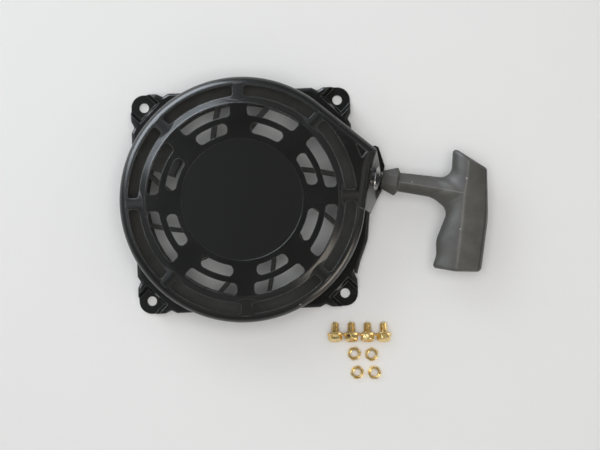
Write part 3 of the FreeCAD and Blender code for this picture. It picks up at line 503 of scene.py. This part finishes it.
# ---- grip -------------------------------------------------------------------------------------------
GRIP_PLAN = (               # along and across the pull, corner radius, in millimetres
    (10.0, -5.4, 0.01),
    (34.5, -5.6, 14.0),
    (44.5, -11.5, 6.5),
    (40.5, -29.5, 14.0),
    (42.0, -38.5, 12.0),
    (40.7, -45.7, 2.0),
    (54.0, -45.9, 8.0),
    (69.1, -43.7, 3.0),
    (68.2, -12.0, 60.0),
    (63.0, 15.9, 1.5),
    (41.6, 25.0, 1.8),
    (43.6, 7.0, 6.5),
    (10.0, 5.4, 0.01),
)
GRIP_ROWS = 34                  # rows of points from the outline in to the ridge, crowded at the outline
ROW_CROWDING = 1.8
PARTING_ROW = 11
PARTING_AT = (PARTING_ROW / (GRIP_ROWS - 1)) ** ROW_CROWDING
PARTING_WIDTH = 0.034
PARTING_DEPTH = 0.4
# Marks for painted light: the pale ridge line and the pale strips along the back and the hook's end are
# painted highlights.
RIDGE_WIDTH = 0.05
RIDGE_MARK = -0.45
BACK_STRIP = -0.3
END_STRIP = -0.8
# Ridges of the grip, as (along, across, half thickness) in millimetres: out along the stem to where the
# arms meet, from there to the hook's end, and from there to the long arm's end.
STEM_RIDGE = ((10.0, 0.0, 5.7), (30.0, 0.0, 5.8), (40.0, -0.1, 7.0), (46.0, -0.3, 9.0), (51.5, -0.6, 9.6))
HOOK_RIDGE = ((51.5, -0.6, 9.6), (51.6, 8.0, 9.6), (51.0, 18.3, 9.3))
ARM_RIDGE = ((51.5, -0.6, 9.6), (52.6, -15.0, 9.6), (53.2, -30.0, 9.6), (53.9, -44.2, 9.2))


def ridge_points(spine, count):
    """Even points along a polyline of (along, across, half thickness)."""
    spine = np.array(spine)
    lengths = np.concatenate([[0], np.cumsum(np.linalg.norm(np.diff(spine[:, :2], axis=0), axis=1))])
    at = np.linspace(0, lengths[-1], count)
    return np.stack([np.interp(at, lengths, spine[:, k]) for k in range(3)], axis=1)


def grip_surface():
    """Grip as two mirrored sheets between its outline and its ridge.
    A sheet's point lies on the straight line from an outline point to its ridge point, a share t along;
    its height is the ridge's half thickness times (1 - (1 - t)^p)^(1/2), less a small roof-like slope,
    where p is small on the finger side (a slanting flank) and large on the back (a flat top, round edge).
    A shallow groove, the mould's parting line, runs along the back.
    Also gives a mark for each point, which the finish turns into painted light: above 0 in the groove, for
    painted shade, below 0 on the ridge and on the edge strips, for painted highlights."""
    outline, lengths = rounded_path(GRIP_PLAN, 0.25)
    stem = ridge_points(STEM_RIDGE, 60)
    hook = ridge_points(HOOK_RIDGE, 30)
    arm = ridge_points(ARM_RIDGE, 64)
    # Stretches of the outline: first and last plan point, ridge, flank power there, tone of the edge strip.
    stretches = (
        ((10.0, -5.4), (40.3, -8.2), stem, (2.0, 2.2), 0.0),
        ((40.3, -8.2), (41.2, -43.8), arm, (2.2, 2.0), 0.0),
        ((41.2, -43.8), (68.2, -42.4), arm[-1:], (2.0, 4.2), 0.0),
        ((68.2, -42.4), (67.4, -0.6), arm[::-1], (4.2, 4.2), BACK_STRIP),
        ((67.4, -0.6), (63.6, 14.6), hook, (4.2, 4.2), BACK_STRIP),
        ((63.6, 14.6), (42.4, 23.2), hook[-1:], (3.0, 3.0), END_STRIP),
        ((42.4, 23.2), (41.5, 8.6), hook[::-1], (3.0, 2.4), 0.0),
        ((41.5, 8.6), (10.0, 5.4), stem[::-1], (2.4, 2.0), 0.0),
    )
    rim = []
    crest = []
    power = []
    strip = []
    for start, end, ridge, powers, tone in stretches:
        first = lengths[np.argmin(np.linalg.norm(outline[:-1] - np.array(start), axis=1))]
        last = lengths[np.argmin(np.linalg.norm(outline[:-1] - np.array(end), axis=1))]
        count = max(len(ridge), int((last - first) / 0.5)) + 1
        at = np.linspace(first, last, count)[:-1]
        rim.append(np.stack([np.interp(at, lengths, outline[:, k]) for k in range(2)], axis=1))
        index = np.round(np.linspace(0, len(ridge) - 1, count)).astype(int)[:-1]
        crest.append(ridge[index])
        power.append(np.linspace(powers[0], powers[1], count)[:-1])
        strip.append(np.full(count - 1, tone))
    rim = np.concatenate(rim)
    crest = np.concatenate(crest)
    power = np.concatenate(power)
    strip = np.concatenate(strip)[None]
    share = np.linspace(0, 1, GRIP_ROWS)[:, None] ** ROW_CROWDING
    flat = rim[None] * (1 - share[..., None]) + crest[None, :, :2] * share[..., None]
    roof = np.interp(power, (2.2, 4.5), (0.26, 0.12))[None]
    height = crest[None, :, 2] * np.sqrt(1 - (1 - share) ** power[None]) * (1 - roof * (1 - share))
    parting = np.exp(-((share - PARTING_AT) / PARTING_WIDTH) ** 2) * (strip == BACK_STRIP)
    height = height - PARTING_DEPTH * parting
    ridge_line = np.exp(-((1 - share) / RIDGE_WIDTH) ** 2)
    # Marks for painted light: painted shade in the groove, painted highlights on the ridge and the edge
    # strips.
    lines = parting + strip * (share < PARTING_AT * 0.8) + RIDGE_MARK * ridge_line
    sheets = []
    for sign in (1.0, -1.0):
        points = np.empty(flat.shape[:2] + (3,))
        points[:] = GUIDE
        points += flat[..., :1] * MM * PULL + flat[..., 1:] * MM * ACROSS
        points[..., 2] += height * MM * sign
        sheets.append(points.reshape(-1, 3))
    quads = grid_faces(share.shape[0], len(rim), wrap_columns=True)
    count = len(sheets[0])
    return np.concatenate(sheets), np.concatenate([quads, quads[:, ::-1] + count]), np.tile(lines.ravel(), 2)


def turned_about_pull(profile, sides, facets=0, flat=0.0):
    """Body of revolution about the pull from a closed (along, radius) profile, in millimetres.
    With facets, the radius at an angle is shortened towards that of a many-sided prism by the flat share."""
    profile = np.array(profile)
    angle = np.linspace(0, TURN, sides, endpoint=False)
    scale = np.ones(sides)
    if facets:
        step = TURN / facets
        prism = math.cos(step / 2) / np.cos((angle + step / 2) % step - step / 2)
        scale = 1 - flat + flat * prism
    radius = profile[:, 1:2] * scale[None]
    points = (GUIDE + profile[:, None, :1] * MM * PULL
              + (radius * np.cos(angle))[..., None] * MM * ACROSS
              + (radius * np.sin(angle))[..., None] * MM * UP)
    return points.reshape(-1, 3), grid_faces(len(profile), sides, wrap_rows=True, wrap_columns=True)


def make_grip(material):
    """Grip with its flared, faceted collar."""
    body_points, body_faces, body_lines = grip_surface()
    collar = (                  # along the pull and radius, in millimetres
        (3.9, 2.6), (3.9, 5.0), (4.4, 5.6), (7.5, 6.9), (11.6, 8.5), (12.3, 8.4), (13.9, 5.6), (14.5, 4.8),
        (14.5, 2.6),
    )
    collar_points, collar_faces = turned_about_pull(collar, 96, facets=8, flat=0.7)
    points = np.concatenate([body_points, collar_points])
    faces = np.concatenate([body_faces, collar_faces + len(body_points)])
    lines = np.concatenate([body_lines, np.zeros(len(collar_points))])
    finished_piece("grip_moulding", points, faces, material, "grip", ("grip",), marks=lines,
                   sharp_deg=38)


# ---- rope -------------------------------------------------------------------------------------------
ROPE_TURNS = 2.9
SECOND_LAYER_FROM = 1.75        # turns
FIRST_LAYER_R = 58.95           # of the rope's middle, in millimetres, as are the next two
LAYER_RISE = 1.6
GROOVE_SWAY = 2.1


def tube_along(route, radius, sides=20):
    """Tube of one radius along a route: a circle carried along, its first axis kept level.
    Returns the points, the faces and a map of (distance along, share around) for each face corner."""
    route = np.asarray(route)
    tangent = np.gradient(route, axis=0)
    tangent /= np.linalg.norm(tangent, axis=1)[:, None]
    side = np.cross(UP, tangent)
    side /= np.linalg.norm(side, axis=1)[:, None]
    rise = np.cross(tangent, side)
    angle = np.linspace(0, TURN, sides, endpoint=False)
    ring = side[:, None] * np.cos(angle)[None, :, None] + rise[:, None] * np.sin(angle)[None, :, None]
    points = (route[:, None] + ring * radius).reshape(-1, 3)
    quads = grid_faces(len(route), sides, wrap_columns=True)
    along = np.concatenate([[0], np.cumsum(np.linalg.norm(np.diff(route, axis=0), axis=1))])
    row, column = np.divmod(quads, sides)
    wrapped = np.where((column == 0) & (np.arange(4) >= 2), sides, column)
    chart = np.stack([along[row], wrapped / sides], axis=-1)
    return points, quads, chart.reshape(-1, 2)


def lead_route():
    """The rope's line: a tangent from the winding, one bend at the guide's inner mouth, then the pull."""
    bend_at = GUIDE - 2.4 * MM * PULL
    lead_r = 65.0 * MM
    bearing = math.atan2(bend_at[1], bend_at[0])
    leave = bearing + math.acos(lead_r / math.hypot(bend_at[0], bend_at[1]))
    start = np.array([lead_r * math.cos(leave), lead_r * math.sin(leave), ROPE_Z])
    incoming = (bend_at - start) / np.linalg.norm(bend_at - start)
    bend_r = 9.0 * MM
    turn = math.acos(incoming @ PULL)
    reach = bend_r * math.tan(turn / 2)
    first = bend_at - incoming * reach
    inward = np.cross(UP, incoming)
    inward *= np.sign(inward @ (PULL - incoming))
    angle = np.linspace(0, turn, 9)[:, None]
    arc = first + bend_r * (np.sin(angle) * incoming + (1 - np.cos(angle)) * inward)
    straight = start + np.linspace(0, 1, 30)[:-1, None] * (first - start)
    out_from = bend_at + PULL * reach
    last = GUIDE + 4.4 * MM * PULL
    outward = out_from + np.linspace(0, 1, 14)[1:, None] * (last - out_from)
    return np.concatenate([straight, arc, outward])


def winding_route():
    """The turns on the pulley: they climb across the groove, then the last ones lie over the first layer."""
    angle = np.linspace(0, TURN * ROPE_TURNS, 420)
    share = angle / TURN
    layer = np.clip(share - SECOND_LAYER_FROM, 0, 1)
    layer = layer * layer * (3 - 2 * layer)
    radius = (FIRST_LAYER_R + LAYER_RISE * layer) * MM
    climb = np.clip(share, 0, 1) * 2 * GROOVE_SWAY - GROOVE_SWAY
    height = ROPE_Z + np.where(share < SECOND_LAYER_FROM, climb, GROOVE_SWAY - GROOVE_SWAY * layer) * MM
    start = math.radians(148.0)
    return np.stack([radius * np.cos(start - angle), radius * np.sin(start - angle), height], axis=1)


def make_ropes():
    """The rope's lead, the stretch that the grip draws out, and the turns on the pulley; the lead rides on no
    body.
    Returns the finish of the wound rope, which the stretch in the grip and the knots share."""
    lead_finish = braided_rope("black braided rope, drawn out", True)
    points, faces, _ = tube_along(lead_route(), ROPE_R * 0.97)
    piece = finished_piece("rope_drawn_out", points, faces, lead_finish, None, ("rope_lead",))
    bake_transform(piece)
    wound_finish = braided_rope("black braided rope, wound", False)
    points, faces, chart = tube_along(winding_route(), ROPE_R * 0.96, 14)
    finished_piece("rope_turns", points, faces, wound_finish, "pulley", ("rope_winding",), uv=chart)
    return wound_finish


# ---- loose hardware ---------------------------------------------------------------------------------
THREAD_PITCH = 0.8              # these sizes are in millimetres
ACROSS_FLATS = 7.4
WASHER_R = 4.75
THREAD_R = 2.3
SHANK_LENGTH = 7.0
SIDES = 72
SCREW_SPACING = 9.5
FIRST_SCREW = (50.2, -80.9)
ROW_TURN_DEG = -2.4
SCREW_ROLLS = (0, 23, 41, 12)
NUT_PLACES = ((61.0, -93.1, 8.0), (71.2, -94.0, 25.0), (62.3, -104.3, 12.0), (72.4, -104.8, 0.0))


def hexagon_radius(angle, across_flats, corner_r):
    """Radius of a hexagon at an angle, with its corners turned off at a radius."""
    sixth = math.pi / 3
    return np.minimum(across_flats / 2 / np.cos(angle % sixth - sixth / 2), corner_r)


def thread_wave(height, angle):
    """Triangle wave from 0 to 1 that climbs one pitch a turn."""
    return np.abs(((height / THREAD_PITCH - angle / TURN) % 1.0) * 2 - 1)


def screw_surface():
    """Washer-head screw about +X, shank outwards: at each station along the axis a radius for every angle.
    The head's radius is a hexagon's; the shank's follows a triangle wave that climbs one pitch a turn."""
    angle = np.linspace(0, TURN, SIDES, endpoint=False)
    stations = []
    for x, radius, is_hexagon in (
        (-3.75, 0.0, False), (-3.8, 1.6, False), (-4.05, 2.5, False), (-4.1, 3.2, False), (-4.0, 3.6, False),
        (-3.7, 4.15, True), (-2.4, 4.15, True), (-1.15, 4.15, True), (-0.95, 4.25, False),
        (-0.78, 4.6, False), (-0.5, WASHER_R, False), (-0.15, 4.72, False), (0.0, 4.5, False),
        (0.02, 2.5, False), (0.25, 2.1, False),
    ):
        ring = hexagon_radius(angle, ACROSS_FLATS, radius) if is_hexagon else np.full(SIDES, radius)
        stations.append((np.full(SIDES, x), ring))
    for x in np.linspace(0.35, 6.5, 78):
        ends = np.clip((x - 0.2) / 0.6, 0, 1) * np.clip((6.75 - x) / 0.7, 0, 1)
        stations.append((np.full(SIDES, x), 1.88 + 0.42 * thread_wave(x, angle) * ends))
    stations.append((np.full(SIDES, 6.95), np.full(SIDES, 1.5)))
    stations.append((np.full(SIDES, SHANK_LENGTH), np.zeros(SIDES)))
    x = np.array([s[0] for s in stations])
    radius = np.array([s[1] for s in stations])
    points = np.stack([x, radius * np.cos(angle), radius * np.sin(angle)], axis=-1).reshape(-1, 3)
    return points * MM, grid_faces(len(stations), SIDES, wrap_columns=True)


def make_screws(material):
    """Four screws lying in a row on the rims of their washers and the tips of their shanks."""
    base, quads = screw_surface()
    low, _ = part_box("mounting_screws")
    droop = math.asin((WASHER_R - THREAD_R) / SHANK_LENGTH)
    row = math.radians(ROW_TURN_DEG)
    all_points = []
    all_faces = []
    for k, roll_deg in enumerate(SCREW_ROLLS):
        roll = Matrix.Rotation(math.radians(roll_deg), 3, "X")
        lie = Matrix.Rotation(droop, 3, "Y")
        head_on = Matrix.Rotation(math.radians(90.0 + ROW_TURN_DEG), 3, "Z")
        turn = np.array(head_on @ lie @ roll)
        points = base @ turn.T
        points[:, 2] += low[2] - points[:, 2].min()
        points[:, 0] += (FIRST_SCREW[0] + SCREW_SPACING * k * math.cos(row)) * MM
        points[:, 1] += (FIRST_SCREW[1] + SCREW_SPACING * k * math.sin(row)) * MM
        all_points.append(points)
        all_faces.append(quads + k * len(base))
    finished_piece("screws_threaded", np.concatenate(all_points), np.concatenate(all_faces), material,
                   "mounting_screws", ("mounting_screws",), sharp_deg=50)


def nut_surface():
    """Hexagon nut about +Z: a closed section carried round, its outside a hexagon with turned-off corners,
    its bore a triangle wave that climbs one pitch a turn."""
    angle = np.linspace(0, TURN, SIDES, endpoint=False)
    rings = []
    for z, radius, is_hexagon in (
        (0.0, 2.6, False), (0.0, 3.3, False), (0.2, 3.62, False), (0.62, 3.98, True), (1.6, 4.02, True),
        (2.58, 3.98, True), (3.0, 3.62, False), (3.2, 3.3, False), (3.2, 2.7, False), (3.1, 2.55, False),
    ):
        ring = hexagon_radius(angle, ACROSS_FLATS, radius) if is_hexagon else np.full(SIDES, radius)
        rings.append((z, ring))
    for z in np.linspace(2.95, 0.25, 32):
        rings.append((z, 2.12 + 0.33 * thread_wave(z, angle)))
    radius = np.array([r for _, r in rings])
    z = np.array([np.full(SIDES, level) for level, _ in rings])
    points = np.stack([radius * np.cos(angle), radius * np.sin(angle), z], axis=-1).reshape(-1, 3)
    return points * MM, grid_faces(len(rings), SIDES, wrap_rows=True, wrap_columns=True)


def make_nuts(material):
    """Four nuts lying flat."""
    base, quads = nut_surface()
    all_points = []
    all_faces = []
    for index, (x, y, degrees) in enumerate(NUT_PLACES):
        turn = np.array(Matrix.Rotation(math.radians(degrees), 3, "Z"))
        all_points.append(base @ turn.T + np.array([x, y, 0.0]) * MM)
        all_faces.append(quads + index * len(base))
    finished_piece("nuts_threaded", np.concatenate(all_points), np.concatenate(all_faces), material,
                   "mounting_nuts", ("mounting_nuts",), sharp_deg=50)


# ---- putting it together ----------------------------------------------------------------------------
def paint_node(name, material):
    """Give a CAD node its finish."""
    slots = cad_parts[name].data.materials
    slots.clear()
    slots.append(material)


def lay_floor():
    """Large pale floor just under the part."""
    low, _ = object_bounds()
    drop = low[2] - 0.1 * MM
    square = ((-1, -1), (1, -1), (1, 1), (-1, 1))
    corners = [(x * FLOOR_HALF_SIDE, y * FLOOR_HALF_SIDE, drop) for x, y in square]
    mesh = bpy.data.meshes.new("floor")
    mesh.from_pydata(corners, [], [(0, 1, 2, 3)])
    mesh.materials.append(plain_floor())
    floor = bpy.data.objects.new("floor", mesh)
    bpy.context.scene.collection.objects.link(floor)


def main():
    bpy.context.scene.view_settings.view_transform = "Standard"
    place_camera()
    light_room()
    light_from_afar()
    paint = painted_steel()
    black = moulded_plastic("black moulded nylon", (0.026, 0.025, 0.023, 1), (0.060, 0.057, 0.052, 1), 0.50)
    pale = moulded_plastic("natural nylon", (0.60, 0.57, 0.48, 1), (0.72, 0.70, 0.62, 1), 0.45)
    rubber = moulded_plastic("charcoal grip", (0.056, 0.054, 0.048, 1), (0.125, 0.122, 0.110, 1), 0.56,
                             fine=1700.0, depth=0.06 * MM, specks=0.05, reach=0.05, lines=True)
    bright = plated_steel("bright nickel", (0.60, 0.60, 0.61, 1), (0.42, 0.42, 0.43, 1), 0.10)
    zinc = plated_steel("plain zinc", (0.55, 0.56, 0.57, 1), (0.42, 0.43, 0.45, 1), 0.30)
    blued = plated_steel("blued spring steel", (0.16, 0.18, 0.23, 1), (0.26, 0.24, 0.22, 1), 0.28)
    bronze = plated_steel("oiled bronze", (0.52, 0.33, 0.16, 1), (0.38, 0.24, 0.12, 1), 0.35)
    gold = plated_steel("yellow zinc", (0.98, 0.68, 0.25, 1), (0.86, 0.70, 0.36, 1), 0.20, broad=420.0)
    finishes = {
        "housing": paint, "rope_guide": bright, "centre_post": zinc, "centre_washer": zinc,
        "centre_screw": zinc, "friction_spring": blued, "recoil_spring": blued, "pulley": black,
        "pulley_bushing": bronze, "pawl_pins": zinc, "friction_plate": black, "pawl_1": pale, "pawl_2": pale,
        "grip_insert": black,
    }
    for name, material in finishes.items():
        paint_node(name, material)
    make_grip(rubber)
    wound_finish = make_ropes()
    for name in ("rope_in_grip", "rope_grip_knot", "rope_pulley_knot"):
        paint_node(name, wound_finish)
    make_screws(gold)
    make_nuts(gold)
    lay_floor()


main()
